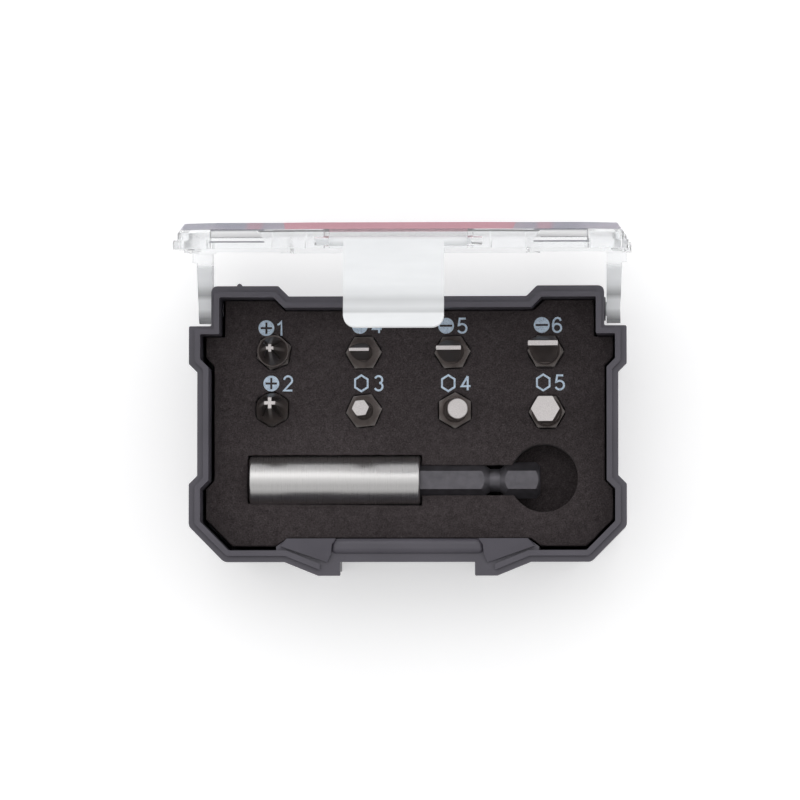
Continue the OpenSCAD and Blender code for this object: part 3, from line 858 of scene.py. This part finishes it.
def card_pieces(white, ink, mark):
    """The card behind the lid's top: white inside, printed outside where it lies on the plastic."""
    outline = top_outline("label_card", opened().inverted())
    sheet = bmesh.new()
    plate(sheet, outline, [], CARD_TOP - CARD_T, CARD_TOP - 0.01)
    film = bmesh.new()
    across = [p for p in outline if abs(p.x) > BAY_X or p.y > 0]
    plate(film, shifted(across, 0.03), [], CARD_TOP - 0.005, CARD_TOP + 0.04)
    marks = bmesh.new()
    low, high = CARD_TOP + 0.035, CARD_TOP + 0.06
    for kind, x in CARD_ICONS:
        icon(marks, kind, (x, CARD_ICON_Y), low, high, CARD_ICON_SCALE)
    plate(marks, bar(*RULE), [], low, high)
    for i, x in enumerate(BOXES_X):
        outer, inner = (bar((x, BOXES_Y), size, size) for size in BOX)
        plate(marks, outer, [inner], low, high)
        plate(marks, bar((x, BOXES_Y), 0.4 + 0.3 * i, 0.8), [], low, high)
    layers = (("card_sheet", sheet, white), ("card_film", film, ink), ("card_marks", marks, mark))
    for name, bm, material in layers:
        bm.transform(opened())
        piece = add_piece(name, bm, material, "lid")
        if name == "card_sheet":
            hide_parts("label_card")


# ---- The scene ----

def make_camera():
    aim = Vector(CAMERA_AIM)
    aside, ahead = (math.tan(math.radians(a)) for a in (CAMERA_RIGHT, CAMERA_FORWARD))
    place = aim + Vector((aside, -ahead, 1)) * CAMERA_DISTANCE
    look = (aim - place).normalized()
    right = look.cross(Vector((0, 1, 0))).normalized()
    up = right.cross(look)
    data = bpy.data.cameras.new("camera")
    data.sensor_width = SENSOR_WIDTH
    data.lens = data.sensor_width * (aim - place).length / VIEW_WIDTH
    camera = bpy.data.objects.new("camera", data)
    turn = Matrix((right, up, -look)).transposed()
    camera.matrix_world = Matrix.Translation(place) @ turn.to_4x4()
    bpy.context.scene.collection.objects.link(camera)
    bpy.context.scene.camera = camera


def make_floor():
    bm = bmesh.new()
    bmesh.ops.create_grid(bm, x_segments=4, y_segments=4, size=FLOOR_SIZE)
    mesh = bpy.data.meshes.new("floor")
    bm.to_mesh(mesh)
    bm.free()
    mesh.materials.append(floor_material())
    floor = bpy.data.objects.new("floor", mesh)
    floor.location.z = -FLOOR_GAP
    bpy.context.scene.collection.objects.link(floor)


def make_key():
    """A soft box over the back, aimed at the case."""
    data = bpy.data.lights.new("key", "AREA")
    data.shape = "RECTANGLE"
    data.size = data.size_y = KEY_SIZE
    data.energy = KEY_POWER
    light = bpy.data.objects.new("key", data)
    down = Vector((0, 0, 20 * MM)) - Vector(KEY_PLACE)
    turn = down.to_track_quat("-Z", "Y").to_matrix().to_4x4()
    light.matrix_world = Matrix.Translation(KEY_PLACE) @ turn
    bpy.context.scene.collection.objects.link(light)


def make_room():
    """A pale room that is darker towards the front."""
    world = bpy.data.worlds.new("studio")
    bpy.context.scene.world = world
    world.use_nodes = True
    nodes, link = world.node_tree.nodes, world.node_tree.links.new
    place = nodes.new("ShaderNodeTexCoord")
    parts = nodes.new("ShaderNodeSeparateXYZ")
    link(place.outputs["Generated"], parts.inputs["Vector"])
    turn = nodes.new("ShaderNodeMapRange")
    turn.inputs["From Min"].default_value, turn.inputs["From Max"].default_value = ROOM_TURN
    link(parts.outputs["Y"], turn.inputs["Value"])
    mix = nodes.new("ShaderNodeMix")
    mix.data_type = "RGBA"
    link(turn.outputs["Result"], mix.inputs["Factor"])
    for levels, socket in ((FRONT_LIGHT, mix.inputs[6]), (BACK_LIGHT, mix.inputs[7])):
        ramp = nodes.new("ShaderNodeValToRGB")
        set_stops(ramp, [(height, (level, level, level)) for height, level in levels])
        link(parts.outputs["Z"], ramp.inputs["Fac"])
        link(ramp.outputs["Color"], socket)
    link(mix.outputs[2], nodes["Background"].inputs["Color"])


make_camera()
make_floor()
make_room()
make_key()
bpy.context.scene.view_settings.view_transform = "Standard"

dress(NODES["case_base"], case_plastic())
soften(NODES["case_base"], 0.16, angle=8, patch=10 * MM)
dress(NODES["lid"], clear_plastic("clear_plastic", LID_HAZE, lid_shade))
soften(NODES["lid"], 0.22)
dress(NODES["latch"], clear_plastic("latch_plastic", LATCH_HAZE, latch_shade))
soften(NODES["latch"], 0.2)
dress(NODES["holder_sleeve"], sleeve_steel())
dress(NODES["holder_shank"], dark_steel("shank_steel", SHANK_TONES, 0.75))
dress(NODES["holder_magnet"], plain_metal("magnet_nickel", (0.70, 0.70, 0.72), 0.25))
dress(NODES["holder_ring"], plain_metal("spring_steel", (0.50, 0.50, 0.52), 0.3))
for part in ("holder_sleeve", "holder_shank", "holder_magnet"):
    soften(NODES[part], 0.12)
for bit in BITS:
    part = f"bit_{bit.kind}_{bit.size}"
    dress(NODES[part], dark_steel(part + "_steel", BIT_TONES, 0.35, bit))
    soften(NODES[part], 0.1)

foam = foam_material()
foam_piece("foam_bottom", "foam_lower", False, foam)
foam_piece("foam_top", "foam_upper", True, foam)
make_print(print_material())
card_pieces(paper("card_white", (0.86, 0.86, 0.87)), card_print(),
            paper("card_mark", (0.82, 0.82, 0.83)))
